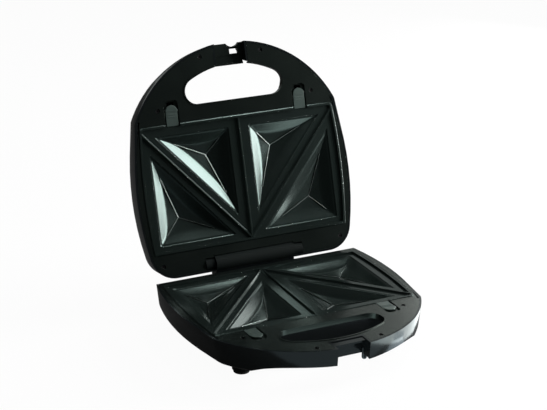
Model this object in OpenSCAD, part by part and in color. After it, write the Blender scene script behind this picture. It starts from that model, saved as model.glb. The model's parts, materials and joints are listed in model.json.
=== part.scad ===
/* [Housing] */
// Radius of the rounded handle end, seen from above
handle_r = 128; // [120:1:136]
// How far that radius is centred in front of the middle of the housing
handle_centre_y = -10.2; // [-14:0.1:-6]
// Radius of the bowed sides
side_r = 301; // [270:1:330]
// Half width of the housing at its widest
half_width = 124; // [122:0.5:127]
// Where the sides are widest, behind the middle
side_y = 15; // [5:1:25]
// Rear edge of the housing
rear_y = 101; // [100:0.5:104]
// Radius of the two rear corners
rear_corner_r = 28; // [16:1:32]
// Line where the handle end meets the sides
handle_line_y = -64; // [-65:0.5:-63]
// Wall of the outer shells
wall = 2.2; // [1.8:0.1:2.6]
// Depth of each half at its flat middle
half_depth = 36; // [35.5:0.5:40]
// Height of the upright part of the side wall
side_wall_h = 22; // [19:0.5:24]
// How far the side wall leans in over that height
side_draft = 2.3; // [1.5:0.1:3]
// Height of the parting plane above the table
parting_height = 45; // [44.5:0.5:50]

/* [Handle] */
// Width of the handle bar from its outer edge to the finger hole
bar_width = 23.4; // [21:0.1:24]
// Rear edge of the finger hole
hole_rear_y = -77; // [-78:0.5:-76]
// Half length of the finger hole
hole_half_length = 56.5; // [50:0.5:60]
// Corner radius of the finger hole
hole_corner_r = 13.5; // [8:0.5:14]
// Thickness of the handle bar
bar_thickness = 18.2; // [17.6:0.2:19]
// How much further each end of the finger hole reaches under the handle bar
hole_flare = 6; // [4:0.5:8]

/* [Deck] */
// How far the deck lies below the rim of the hot plate
deck_drop = 0.6; // [0.4:0.1:1]
// Thickness of the deck moulding
deck_t = 3; // [2.6:0.1:3.2]
// Width of the shell's rim around the deck
rim_width = 2.2; // [2:0.1:2.6]
// Clearance between pieces that sit in each other
clearance = 0.2; // [0.15:0.05:0.3]
// Gap between the two hot plates when the lid is closed
closed_gap = 0.4; // [0.3:0.1:0.8]
// Level of the low shelf at the back of the base
shelf_z = -9.5; // [-10.5:0.5:-9]
// Where the deck steps down to that shelf
step_y = 81.5; // [79.5:0.5:82.5]

/* [Hot plate] */
// Front edge of the plate
plate_front_y = -60; // [-61:0.5:-59]
// Rear edge of the plate
plate_rear_y = 74.7; // [73:0.1:75]
// Distance from the plate's sides to the housing's, at its widest
plate_margin = 8; // [7.5:0.5:10]
// Radius of the plate's bowed sides
plate_side_r = 600; // [500:10:900]
// Thickness of the plate
plate_t = 2.6; // [2.2:0.1:3]
// Depth of the flat lands below the rim
land_depth = 2.2; // [1.8:0.1:2.4]
// Width of the raised rim
plate_rim = 3; // [2.6:0.1:3.5]
// Depth of the pockets below the lands, at their middle
pocket_depth = 10.3; // [8:0.1:11]
// Land between the divider and the front pockets
land_divider = 11.5; // [9:0.5:13]
// Land between the plate's front edge and the front pockets
land_front = 11.5; // [10:0.5:14]
// Land between a diagonal and the pocket in front of it
land_diagonal_front = 8; // [6:0.5:10]
// Land between a diagonal and the pocket behind it
land_diagonal_rear = 9; // [6:0.5:11]
// Land between the plate's side and the rear pockets
land_side = 12; // [10:0.5:15]
// Land between the plate's rear edge and the rear pockets
land_rear = 8.5; // [8:0.5:11]

/* [Hinge] */
// How far the lid is open, as drawn
open_angle = 106; // [0:1:106]
// Hinge axis, behind the middle
hinge_y = 93; // [92.5:0.1:93.5]
// Hinge axis above the parting plane
hinge_z = 6; // [5.6:0.1:6.5]
// Radius of the base's hinge barrel
barrel_r = 9; // [8:0.1:9.2]
// Half length of the barrel
barrel_half = 46; // [40:0.5:48]
// Width of each ear of the lid
ear_width = 10; // [8:0.5:12]
// Radius of the hinge pins
hinge_pin_r = 2.5; // [2:0.1:3]

/* [Latch] */
// Half width of the notches for the latch
notch_half = 17.25; // [15:0.25:19]
// How far the latch's pivot lies behind the front of the handle
latch_setback = 7.7; // [7.2:0.1:8.2]
// Latch pivot above the parting plane, lid closed
latch_z = 11.8; // [11.4:0.1:12.2]
// Length of the latch from its pivot to its tip
latch_length = 17.4; // [17.3:0.1:18]
// Thickness of the latch
latch_t = 4; // [3.6:0.1:4.4]
// Radius of the latch pins
latch_pin_r = 1.5; // [1.2:0.1:1.8]

/* [Small parts] */
// Distance of a release tab from the middle
tab_x = 74; // [72:0.5:76]
// Width of a release tab
tab_width = 14.4; // [12:0.2:15]
// Travel of a release tab
tab_travel = 4.5; // [4:0.1:5]
// Radius of a screw's thread
screw_r = 1.45; // [1.2:0.05:1.7]
// Radius of a screw's head
screw_head_r = 2.2; // [2:0.1:3]
// Radius of a foot
foot_r = 9.5; // [8:0.5:10]
// Thickness of a rubber foot pad
pad_t = 3.5; // [3:0.5:4]
// Radius of the heating tube
element_r = 3.3; // [3:0.1:3.4]
// Radius of the hole in the cord bush
cord_hole_r = 3.6; // [3:0.1:3.8]

/* [Hidden] */
eps = 0.01;
far = 200;
// Colours as in the photograph
black_gloss = [0.07, 0.08, 0.08];
black_satin = [0.11, 0.13, 0.13];
non_stick = [0.16, 0.18, 0.18];
tab_grey = [0.27, 0.31, 0.31];
steel = [0.75, 0.76, 0.78];
// Side walls: centre of each side's arc
side_cx = side_r - half_width;
front_reach = handle_centre_y - handle_r;
// Levels of the deck
deck_top = -deck_drop;
deck_bottom = deck_top - deck_t;
deck_inset = rim_width + clearance;
shelf_t = 2.4;
shelf_bottom = shelf_z - shelf_t;
shelf_rim = 2.9;
riser_t = 1.6;
// Side wall, rounding and crowned underside, as pairs of inset and level
round_r = 5;
crown_start = side_draft + round_r;
crown_end = 62;
crown_z = deck_top - side_wall_h - round_r;
crown = [for (i = [0:5]) [crown_start + (crown_end - crown_start) * i / 5,
    crown_z - (half_depth + crown_z) * sin(90 * i / 5)]];
rounding = [for (a = [0:30:60]) [side_draft + round_r * (1 - cos(a)), deck_top - side_wall_h - round_r * sin(a)]];
outer_levels = concat([[0, deck_top]], rounding, crown);
inner_levels = [for (l = outer_levels) [l[0] + wall, l[1] + wall]];
// Finger relief under the handle bar: a long cylinder across the housing
relief_r = 57.5;
relief_y = front_reach + 13.2;
relief_z = -bar_thickness - relief_r;
// Finger hole
hole_front_r = handle_r - bar_width;
hole_front_y = front_reach + bar_width;
collar = 1.5;
bead = 0.5;
plate_half_width = half_width - plate_margin;
// Hot plate: the diagonals run from the front corners to the middle of the rear edge
plate_side_y = 10;
diagonal_front = [plate_half_width - 4.65, plate_front_y + 6];
diagonal_rear = [0, plate_rear_y - 2.7];
diagonal = diagonal_rear - diagonal_front;
diagonal_unit = diagonal / norm(diagonal);
diagonal_normal = [-diagonal_unit[1], diagonal_unit[0]];
ridge_half = 2.4;
ridge_top_half = 0.5;
plate_bottom = -land_depth - plate_t;
flange_bottom = -3.1;
ledge_z = flange_bottom - clearance;
ledge_t = 1.8;
pocket_wall = [[0, 0], [1.2, 1.5], [4.6, 4.8], [8.6, 6.8], [13, 7.7], [20.5, pocket_depth]];
pocket_corner_r = 2.5;
// Heating parts below the pockets
element_z = -land_depth - pocket_depth - plate_t - 0.4 - element_r;
element_half_x = plate_half_width - 36;
element_front_y = -30;
element_rear_y = 48;
element_bend_r = 20;
end_r = 8;
terminal_x = 14;
tray_t = 0.8;
tray_half_x = plate_half_width - 18;
tray_front_y = -44;
tray_rear_y = 61;
tray_top = -13;
tray_z = element_z - element_r - clearance;
tray_bottom = tray_z - tray_t;
post_x = tray_half_x - 36;
post_ys = [-25, 42];
post_r = 3.5;
// Screws
screw_angles = [16.9, 53.9];
screw_insets = [7.4, 17.9];
screw_front = [for (i = [0, 1]) [(handle_r - screw_insets[i]) * sin(screw_angles[i]),
    handle_centre_y - (handle_r - screw_insets[i]) * cos(screw_angles[i])]];
screw_rear = [[half_width - 20, rear_y - 14]];
boss_r = 3.8;
boss_bore = screw_r + 0.05;
screw_length = 12;
rear_screw_length = 6;
screw_seat = 1.9;
head_depth = 1.2;
// Release tabs
tab_t = 1.1;
tab_front_y = -79.6;
tab_tip_y = plate_front_y + 2.4;
tab_floor = deck_top - 1.8;
tab_z = -land_depth + clearance;
tab_corner_r = 4;
stem_half = 3.5;
stem_front_y = tab_front_y + 1.6;
stem_length = 4.5;
foot_half = 6;
recess_half = tab_width / 2 + 0.8;
recess_front_y = tab_front_y - tab_travel - 0.3;
// Hinge
neck_front_y = 86.6;
neck_back_y = 98.6;
stop_gap = 0.25;
pin_depth = 6;
shroud_r = barrel_r + 1.2;
shroud_back_y = rear_y - 4.1;
lid_hinge_z = closed_gap - hinge_z;
alcove_half = barrel_half + 0.8;
ear_r = 7;
ear_end = alcove_half + ear_width;
// The lid's alcove ends where its edge comes to the back of the base's neck with the lid fully open
alcove_z = lid_hinge_z - (neck_back_y + stop_gap - hinge_y - (rear_y - hinge_y) * cos(106)) / sin(106);
// Latch
latch_face = 3.3;
latch_half = notch_half - 0.35;
latch_head = 5.6;
hook_t = 1.8;
hook_reach = 3.8;
window_x = 2.5;
window_w = 10;
window_l = 5.2;
scoop_x = 6.5;
pin_grip = 3.4;
lid_latch_z = closed_gap - latch_z;
latch_y = front_reach + latch_setback;
keeper_front_y = front_reach + 10.2;
keeper_rear_y = front_reach + 19.2;
keeper_z = -1.5;
keeper_t = 1.8;
notch_wall_y = front_reach + 18.2;
bridge_front_y = latch_y + 5.7;
bridge_rear_y = latch_y + 13.9;
notch_back_y = hole_front_y + 8;
bridge_z = closed_gap - latch_z - (latch_t - latch_face) - 0.6;
pin_reach = 3;
// Feet, cord entry and lamps
foot_x = half_width - 41;
foot_ys = [plate_front_y + 2, rear_y - 25];
pod_bottom = -parting_height + pad_t;
pad_pin_r = 2.5;
inlet_x = 72;
inlet_length = 14.2;
inlet_z = -19.6;
bush_wall = 1.5;
bush_r = cord_hole_r + bush_wall;
inlet_r = bush_r + wall;
inlet_back_y = rear_y - 0.8;
inlet_front_y = inlet_back_y - inlet_length;
clamp_y = inlet_front_y - 8;
clamp_half = 8;
lamp_x = 13;
lamp_y = -50;
lens_r = 5;
// The model stands on the table, centred front to back with the lid as drawn
lid_top_front_y = front_reach + crown_end;
back_reach = max(rear_y, hinge_y + (lid_top_front_y - hinge_y) * cos(106)
    + (half_depth + closed_gap - hinge_z) * sin(106));
middle_y = (front_reach + back_reach) / 2;

// Frames: the base as it stands, and the lid mirrored, closed and then swung open
module in_base() translate([0, -middle_y, parting_height]) children();
module in_lid() in_base() translate([0, hinge_y, hinge_z]) rotate([-open_angle, 0, 0])
    translate([0, -hinge_y, -hinge_z]) translate([0, 0, closed_gap]) mirror([0, 0, 1]) children();
module both_sides() for (s = [0, 1]) mirror([s, 0, 0]) children();

// Outline of the housing: a round handle end on a body with bowed sides and round rear corners
module handle_end() intersection() {
    translate([0, handle_centre_y]) circle(r = handle_r, $fn = 96);
    translate([-far, -far]) square([2 * far, far + handle_line_y]);
}
module body_outline() offset(r = rear_corner_r, $fn = 48) offset(delta = -rear_corner_r) intersection() {
    translate([-side_cx, side_y]) circle(r = side_r, $fn = 120);
    translate([side_cx, side_y]) circle(r = side_r, $fn = 120);
    translate([-far, -far]) square([2 * far, far + rear_y]);
}
module housing_outline() {
    handle_end();
    intersection() {
        body_outline();
        translate([-far, handle_line_y - eps]) square([2 * far, far]);
    }
}
module housing_solid(levels) hull() for (l = levels)
    translate([0, 0, l[1]]) linear_extrude(eps) offset(delta = -l[0]) housing_outline();

// Finger hole, its wider mouth through the shell, and the relief under the bar
module hole_outline() offset(r = hole_corner_r, $fn = 32) offset(delta = -hole_corner_r) intersection() {
    translate([0, handle_centre_y]) circle(r = hole_front_r, $fn = 96);
    translate([-hole_half_length, -far]) square([2 * hole_half_length, far + hole_rear_y]);
}
module long_hole(grow) offset(delta = grow) scale([1 + hole_flare / hole_half_length, 1]) hole_outline();
module hole_mouth(grow) hull() {
    translate([0, 0, deck_top + 1]) linear_extrude(eps) offset(delta = collar + clearance + grow) hole_outline();
    translate([0, 0, deck_bottom]) linear_extrude(eps) offset(delta = collar + clearance + grow) hole_outline();
    translate([0, 0, -bar_thickness]) linear_extrude(eps) long_hole(collar + clearance + grow);
    translate([0, 0, -half_depth - 4]) linear_extrude(eps) long_hole(hole_flare + 2 + grow);
}
module relief(grow) translate([-far, relief_y, relief_z]) rotate([0, 90, 0])
    cylinder(r = relief_r + grow, h = 2 * far, $fn = 120);
module notch_plan(y) translate([-notch_half, -far]) square([2 * notch_half, far + y]);
module base_plan() difference() {
    housing_outline();
    notch_plan(notch_wall_y);
}
module lid_plan() difference() {
    housing_outline();
    notch_plan(notch_back_y);
}
module rod_x(x, length, r, fn = 32) translate([x, 0, 0]) rotate([0, 90, 0]) cylinder(r = r, h = length, $fn = fn);
module block(half, y1, y2, z1, z2) translate([-half, y1, z1]) cube([2 * half, y2 - y1, z2 - z1]);

// What stays solid inside a half: bosses for the deck's screws, and posts for the tray
module bosses(rear_top) {
    both_sides() for (p = screw_front) translate([p[0], p[1], -far]) cylinder(r = boss_r, h = far + deck_bottom, $fn = 32);
    both_sides() for (p = screw_rear) translate([p[0], p[1], -far]) cylinder(r = boss_r, h = far + rear_top, $fn = 32);
    both_sides() for (y = post_ys) translate([post_x, y, -far]) cylinder(r = post_r, h = far + tray_bottom, $fn = 32);
}
module boss_bores(rear_top, rear_length) {
    both_sides() for (p = screw_front) translate([p[0], p[1], deck_bottom - screw_length])
        cylinder(r = boss_bore, h = screw_length + 1, $fn = 32);
    both_sides() for (p = screw_rear) translate([p[0], p[1], rear_top - rear_length])
        cylinder(r = boss_bore, h = rear_length + 1, $fn = 32);
}
module screws(rear_top, rear_length) {
    both_sides() for (p = screw_front) translate([p[0], p[1], deck_top]) screw(screw_length - 1);
    both_sides() for (p = screw_rear) translate([p[0], p[1], rear_top]) screw(rear_length - 1);
}
module screw(length) difference() {
    union() {
        translate([0, 0, -screw_seat]) cylinder(r = screw_head_r, h = head_depth, $fn = 32);
        translate([0, 0, -screw_seat - length]) cylinder(r = screw_r, h = length + eps, $fn = 32);
    }
    translate([0, 0, -screw_seat + 0.4]) cylinder(r = 1.1, h = 2, $fn = 6);
}
module screw_hole(top) translate([0, 0, top]) {
    translate([0, 0, -screw_seat]) cylinder(r = screw_head_r + clearance, h = 3, $fn = 32);
    translate([0, 0, -8]) cylinder(r = screw_r + clearance, h = 9, $fn = 32);
}

// Base shell: tub with the handle bar, latch keeper, hinge barrel, foot pods and cord entry
module foot_pods() both_sides() for (y = foot_ys) translate([foot_x, y, pod_bottom])
    cylinder(r1 = foot_r, r2 = foot_r + 1.5, h = 22, $fn = 48);
module inlet_rod(r, y1, y2) translate([inlet_x, y1, inlet_z]) rotate([-90, 0, 0]) cylinder(r = r, h = y2 - y1, $fn = 48);
module neck(z1) block(barrel_half, neck_front_y, neck_back_y, z1, hinge_z);
module base_lugs() both_sides() translate([notch_half + 2.2, notch_wall_y - 1, -23]) {
    cylinder(r = 2.6, h = 10, $fn = 32);
    sphere(r = 2.6, $fn = 32);
}
module clamp_bosses() for (s = [-clamp_half, clamp_half]) translate([inlet_x + s, clamp_y, -far])
    cylinder(r = 3, h = far - 24, $fn = 32);
module base_cavity() difference() {
    housing_solid(inner_levels);
    relief(wall);
    hole_mouth(wall);
    block(notch_half + wall, -far, notch_wall_y + wall, -far, far);
    bosses(shelf_bottom);
    neck(-far);
    inlet_rod(inlet_r, inlet_front_y, rear_y + 10);
    clamp_bosses();
}
module vents() for (i = [-4:4]) translate([i * 9 - 1.5, -12, -half_depth - 5]) cube([3, 40, 10]);
module base_shell() color(black_gloss) in_base() difference() {
    union() {
        difference() {
            union() {
                difference() {
                    housing_solid(outer_levels);
                    relief(0);
                    translate([-far, step_y, shelf_z]) cube([2 * far, far, far]);
                }
                foot_pods();
                inlet_rod(inlet_r, inlet_front_y, inlet_back_y);
            }
            base_cavity();
            hole_mouth(0);
            block(notch_half, -far, notch_wall_y, -far, far);
            translate([0, 0, deck_bottom]) linear_extrude(deck_t + 1) offset(delta = -rim_width) base_plan();
            translate([0, 0, shelf_bottom]) linear_extrude(shelf_t + 1) intersection() {
                offset(delta = -shelf_rim) housing_outline();
                translate([-far, step_y - shelf_t]) square([2 * far, far]);
            }
            vents();
        }
        neck(shelf_z - 3);
        translate([0, hinge_y, hinge_z]) rod_x(-barrel_half, 2 * barrel_half, barrel_r, 64);
        block(notch_half + 1, keeper_front_y, keeper_rear_y, keeper_z - keeper_t, keeper_z);
        base_lugs();
    }
    translate([0, hinge_y, hinge_z]) both_sides() rod_x(barrel_half - pin_depth - 0.5, 20, hinge_pin_r + 0.02, 48);
    boss_bores(shelf_bottom, rear_screw_length);
    inlet_rod(bush_r + 0.05, inlet_front_y - 6, rear_y + 10);
    both_sides() for (y = foot_ys) translate([foot_x, y, pod_bottom - 1]) cylinder(r = pad_pin_r + 0.05, h = 5, $fn = 32);
    for (s = [-clamp_half, clamp_half]) translate([inlet_x + s, clamp_y, -29]) cylinder(r = boss_bore, h = 6, $fn = 32);
}

// Deck mouldings round the hot plates
module plate_plan() offset(r = 5, $fn = 32) offset(delta = -5) intersection() {
    translate([plate_half_width - plate_side_r, plate_side_y]) circle(r = plate_side_r, $fn = 360);
    translate([plate_side_r - plate_half_width, plate_side_y]) circle(r = plate_side_r, $fn = 360);
    translate([-far, plate_front_y]) square([2 * far, plate_rear_y - plate_front_y]);
}
module ledge_plan() intersection() {
    offset(delta = 1.6) plate_plan();
    offset(delta = -deck_inset - 1) housing_outline();
}
module plate_ledge() {
    translate([0, 0, ledge_z - ledge_t]) linear_extrude(ledge_t) difference() {
        ledge_plan();
        offset(delta = -plate_rim) plate_plan();
    }
    translate([0, 0, ledge_z - eps]) linear_extrude(deck_top - ledge_z) difference() {
        ledge_plan();
        offset(delta = clearance + 0.2) plate_plan();
    }
}
module hole_collar() {
    translate([0, 0, deck_bottom - 2]) linear_extrude(deck_t + 2) difference() {
        offset(delta = collar) hole_outline();
        hole_outline();
    }
    translate([0, 0, deck_top - eps]) linear_extrude(bead + eps) difference() {
        offset(delta = collar) hole_outline();
        hole_outline();
    }
}
module tab_cuts() both_sides() translate([tab_x, 0, 0]) {
    translate([0, 0, tab_floor]) linear_extrude(5) {
        translate([-recess_half, recess_front_y + recess_half / 2])
            square([2 * recess_half, plate_front_y - recess_front_y - recess_half / 2 - 0.1]);
        translate([-recess_half / 2, recess_front_y]) square([recess_half, 10]);
        for (s = [-1, 1]) translate([s * recess_half / 2, recess_front_y + recess_half / 2])
            circle(r = recess_half / 2, $fn = 32);
    }
    block(stem_half + 0.3, stem_front_y - tab_travel - 0.3, stem_front_y + stem_length + 0.3, -9, 2);
}
module deck_sheet() difference() {
    children();
    offset(delta = clearance + 0.2) plate_plan();
    hole_outline();
}
module base_deck() color(black_satin) in_base() difference() {
    union() {
        translate([0, 0, deck_bottom]) linear_extrude(deck_t) intersection() {
            deck_sheet() offset(delta = -deck_inset) base_plan();
            translate([-far, -far]) square([2 * far, far + step_y]);
        }
        plate_ledge();
        hole_collar();
        translate([0, 0, shelf_bottom]) linear_extrude(deck_top - shelf_bottom) intersection() {
            offset(delta = -shelf_rim - 1.2) housing_outline();
            translate([-far, step_y - riser_t]) square([2 * far, riser_t]);
        }
        translate([0, 0, shelf_bottom]) linear_extrude(shelf_t) difference() {
            intersection() {
                offset(delta = -shelf_rim - clearance) housing_outline();
                translate([-far, step_y - riser_t]) square([2 * far, far]);
            }
            translate([-barrel_half - clearance, neck_front_y - clearance]) square([2 * barrel_half + 2 * clearance, far]);
        }
    }
    tab_cuts();
    both_sides() for (p = screw_front) translate([p[0], p[1], 0]) screw_hole(deck_top);
    both_sides() for (p = screw_rear) translate([p[0], p[1], 0]) screw_hole(shelf_z);
}

// Hot plates: four triangular pockets between a divider and two diagonals
function line_y(x, d) = diagonal_front[1] + d * diagonal_normal[1]
    + diagonal[1] / diagonal[0] * (x - diagonal_front[0] - d * diagonal_normal[0]);
function line_x(y, d) = diagonal_front[0] + d * diagonal_normal[0]
    + diagonal[0] / diagonal[1] * (y - diagonal_front[1] - d * diagonal_normal[1]);
front_y = plate_front_y + land_front;
rear_edge_y = plate_rear_y - land_rear;
side_x = plate_half_width - land_side;
front_triangle = [[land_divider, front_y], [line_x(front_y, land_diagonal_front), front_y],
    [land_divider, line_y(land_divider, land_diagonal_front)]];
rear_triangle = [[side_x, rear_edge_y], [line_x(rear_edge_y, -land_diagonal_rear), rear_edge_y],
    [side_x, line_y(side_x, -land_diagonal_rear)]];
module pocket(triangle, grow) hull() for (l = pocket_wall)
    translate([0, 0, -land_depth - l[1] - grow]) linear_extrude(l[1] == 0 && grow == 0 ? 1 : eps)
        offset(r = pocket_corner_r, $fn = 18) offset(delta = -l[0] - pocket_corner_r + grow) polygon(triangle);
module ridge(p, q) translate([p[0], p[1], 0]) rotate([90, 0, atan2(q[1] - p[1], q[0] - p[0]) + 90])
    linear_extrude(norm(q - p)) polygon([[-ridge_half, -land_depth - 0.5], [ridge_half, -land_depth - 0.5],
        [ridge_half, -land_depth], [ridge_top_half, -0.1], [-ridge_top_half, -0.1], [-ridge_half, -land_depth]]);
module hot_plate() difference() {
    union() {
        difference() {
            translate([0, 0, flange_bottom]) linear_extrude(-flange_bottom) plate_plan();
            translate([0, 0, -land_depth]) linear_extrude(5) offset(delta = -plate_rim) plate_plan();
        }
        translate([0, 0, plate_bottom]) linear_extrude(plate_t) offset(delta = -plate_rim - 0.4) plate_plan();
        both_sides() for (t = [front_triangle, rear_triangle]) pocket(t, plate_t);
        ridge([0, plate_front_y + 2], [0, plate_rear_y - 2]);
        both_sides() ridge(diagonal_front, diagonal_rear);
    }
    both_sides() for (t = [front_triangle, rear_triangle]) pocket(t, 0);
    both_sides() translate([tab_x, 0, 0]) block(recess_half, plate_front_y - 5, plate_front_y + plate_rim + 0.5, -land_depth, 5);
}

// Heating element: one tube, bent to a loop, with its two ends side by side at the back
module bend(x, y, a) translate([x, y, element_z]) rotate([0, 0, a])
    rotate_extrude(angle = 90, $fn = 96) translate([element_bend_r, 0]) circle(r = element_r, $fn = 32);
module end_bend(x, y, a) translate([x, y, element_z]) rotate([0, 0, a])
    rotate_extrude(angle = 90, $fn = 96) translate([end_r, 0]) circle(r = element_r, $fn = 32);
module tube_x(x1, x2, y) translate([0, y, element_z]) rod_x(x1, x2 - x1, element_r);
module tube_y(x, y1, y2, r) translate([x, y1, element_z]) rotate([-90, 0, 0]) cylinder(r = r, h = y2 - y1, $fn = 32);
module element() {
    bx = element_half_x - element_bend_r;
    tube_x(-bx, bx, element_front_y);
    bend(bx, element_front_y + element_bend_r, -90);
    bend(-bx, element_front_y + element_bend_r, 180);
    bend(bx, element_rear_y - element_bend_r, 0);
    bend(-bx, element_rear_y - element_bend_r, 90);
    both_sides() tube_y(element_half_x, element_front_y + element_bend_r, element_rear_y - element_bend_r, element_r);
    both_sides() tube_x(terminal_x + end_r, bx, element_rear_y);
    end_bend(terminal_x + end_r, element_rear_y + end_r, 180);
    end_bend(-terminal_x - end_r, element_rear_y + end_r, 270);
    both_sides() tube_y(terminal_x, element_rear_y + end_r, element_rear_y + end_r + 12, element_r);
    both_sides() tube_y(terminal_x, element_rear_y + end_r + 11, element_rear_y + end_r + 17, 1.2);
}

// Tray under the element that throws the heat back
module tray_plan(grow) offset(r = 8 + grow, $fn = 32) translate([-tray_half_x + 8, tray_front_y + 8])
    square([2 * tray_half_x - 16, tray_rear_y - tray_front_y - 16]);
module tray() difference() {
    translate([0, 0, tray_bottom]) linear_extrude(tray_top - tray_bottom) tray_plan(0);
    translate([0, 0, tray_z]) linear_extrude(30) tray_plan(-tray_t);
    both_sides() translate([terminal_x, tray_rear_y - 5, 0]) block(element_r + 0.4, 0, 10, element_z - element_r - 0.1, 0);
}

// Tabs that hold the plates: a tongue over the plate's edge, a stem through the deck and a foot under it
module release_tab() {
    translate([0, 0, tab_z]) linear_extrude(tab_t) {
        translate([-tab_width / 2, tab_front_y + tab_corner_r]) square([tab_width, tab_tip_y - tab_front_y - tab_corner_r]);
        translate([-tab_width / 2 + tab_corner_r, tab_front_y]) square([tab_width - 2 * tab_corner_r, 10]);
        for (s = [-1, 1]) translate([s * (tab_width / 2 - tab_corner_r), tab_front_y + tab_corner_r])
            circle(r = tab_corner_r, $fn = 32);
    }
    for (i = [0:2]) translate([-tab_width / 2 + 3, tab_front_y + 3 + i * 2.4, tab_z + tab_t - eps])
        cube([tab_width - 6, 1, 0.6]);
    block(stem_half, stem_front_y, stem_front_y + stem_length, deck_bottom - 0.4 - 1.5, tab_z + eps);
    block(foot_half, stem_front_y, stem_front_y + stem_length, deck_bottom - 0.4 - 1.5, deck_bottom - 0.4);
}

// Cord entry: bush, clamp and terminal block
module cord_bush() color(black_satin) in_base() difference() {
    union() {
        inlet_rod(bush_r, inlet_front_y - 1, inlet_back_y + eps);
        inlet_rod(bush_r + 1.6, inlet_back_y, inlet_back_y + 1.8);
        inlet_rod(bush_r + 0.8, inlet_front_y - 2.2, inlet_front_y - 0.1);
    }
    inlet_rod(cord_hole_r, inlet_front_y - 10, inlet_back_y + 10);
}
module cord_clamp() color(black_satin) in_base() translate([inlet_x, clamp_y, -24]) difference() {
    union() {
        translate([-clamp_half - 3.5, -3.5, 0]) cube([2 * clamp_half + 7, 7, 2.4]);
        translate([-2.5, -3.5, -1.6]) cube([5, 7, 2]);
    }
    for (s = [-clamp_half, clamp_half]) translate([s, 0, -1]) cylinder(r = screw_r + clearance, h = 5, $fn = 32);
}
module cord_clamp_screws() color(steel) in_base() for (s = [-clamp_half, clamp_half])
    translate([inlet_x + s, clamp_y, -24 + 2.4 + screw_seat]) screw(6);
module terminal_block() color("ivory") in_base() translate([40, 28, -half_depth + wall]) difference() {
    translate([-12, -7, 0]) cube([24, 14, 8]);
    for (s = [-6, 6]) translate([s, 0, 3]) cylinder(r = 2.2, h = 6, $fn = 32);
    for (s = [-6, 6]) translate([s, -8, 3.6]) rotate([-90, 0, 0]) cylinder(r = 1.5, h = 16, $fn = 32);
}
module foot_pads() color([0.05, 0.05, 0.05]) in_base() both_sides() for (y = foot_ys) {
    translate([foot_x, y, -parting_height]) cylinder(r1 = foot_r - 1.4, r2 = foot_r - 0.8, h = pad_t, $fn = 48);
    translate([foot_x, y, pod_bottom - eps]) cylinder(r = pad_pin_r, h = 3.8, $fn = 32);
}

// Hinge pins, pressed into the base's barrel
module hinge_pins() color(steel) in_base() translate([0, hinge_y, hinge_z]) both_sides()
    rod_x(barrel_half - pin_depth, pin_depth + alcove_half - barrel_half + ear_width - 0.6, hinge_pin_r, 48);

// Lid shell: as the base, with ears at the hinge and a notch with a bridge for the latch
module ear_blocks() both_sides() translate([alcove_half, hinge_y - ear_r, -far]) cube([ear_width, ear_r + 4, far + lid_hinge_z]);
module latch_bosses(r, reach) translate([0, latch_y, lid_latch_z]) both_sides() rod_x(notch_half - 1, reach + 1, r);
module lid_notch() {
    block(notch_half, -far, notch_back_y, bridge_z, far);
    block(notch_half, -far, bridge_front_y, -far, far);
    block(notch_half, bridge_rear_y, notch_back_y, -far, far);
}
module lid_cavity() difference() {
    housing_solid(inner_levels);
    relief(wall);
    hole_mouth(wall);
    block(notch_half + wall, -far, notch_back_y - 2, -far, far);
    bosses(deck_bottom);
    ear_blocks();
    latch_bosses(3.4, pin_reach + 1);
}
module alcove() {
    block(alcove_half, step_y, rear_y + 10, alcove_z, far);
    translate([0, hinge_y, lid_hinge_z]) rod_x(-alcove_half, 2 * alcove_half, barrel_r + 0.8, 64);
}
module lid_shell() color(black_gloss) in_lid() difference() {
    union() {
        difference() {
            housing_solid(outer_levels);
            relief(0);
            lid_cavity();
            hole_mouth(0);
            translate([0, 0, deck_bottom]) linear_extrude(deck_t + 1) offset(delta = -rim_width) lid_plan();
        }
        translate([0, hinge_y, lid_hinge_z]) both_sides() rod_x(alcove_half, ear_width, ear_r, 48);
        both_sides() translate([alcove_half, hinge_y - ear_r, deck_bottom - 8]) cube([ear_width, ear_r + 3, 8 + lid_hinge_z - deck_bottom]);
    }
    lid_notch();
    alcove();
    boss_bores(deck_bottom, screw_length);
    latch_bosses(latch_pin_r + 0.02, pin_reach + 0.2);
    translate([0, hinge_y, lid_hinge_z]) both_sides() rod_x(alcove_half - 1, ear_width + 2, hinge_pin_r + 0.05, 48);
    both_sides() translate([lamp_x, lamp_y, -60]) cylinder(r = lens_r + 0.1, h = 40, $fn = 32);
}
module lid_deck() color(black_satin) in_lid() difference() {
    union() {
        difference() {
            union() {
                translate([0, 0, deck_bottom]) linear_extrude(deck_t)
                    deck_sheet() offset(delta = -deck_inset) lid_plan();
                hole_collar();
            }
            block(alcove_half + clearance, hinge_y - shroud_r, far, -far, far);
            block(ear_end + clearance, hinge_y - ear_r - clearance, far, -far, far);
            block(notch_half + wall + clearance, -far, notch_back_y, -far, far);
        }
        plate_ledge();
        difference() {
            translate([0, hinge_y, lid_hinge_z]) rod_x(-alcove_half + clearance, 2 * (alcove_half - clearance), shroud_r + 1.6, 64);
            translate([0, hinge_y, lid_hinge_z]) rod_x(-far, 2 * far, shroud_r, 64);
            block(far, 0, far, deck_top, far);
            block(far, shroud_back_y, far, -far, far);
        }
    }
    tab_cuts();
    both_sides() for (p = concat(screw_front, screw_rear)) translate([p[0], p[1], 0]) screw_hole(deck_top);
}

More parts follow.
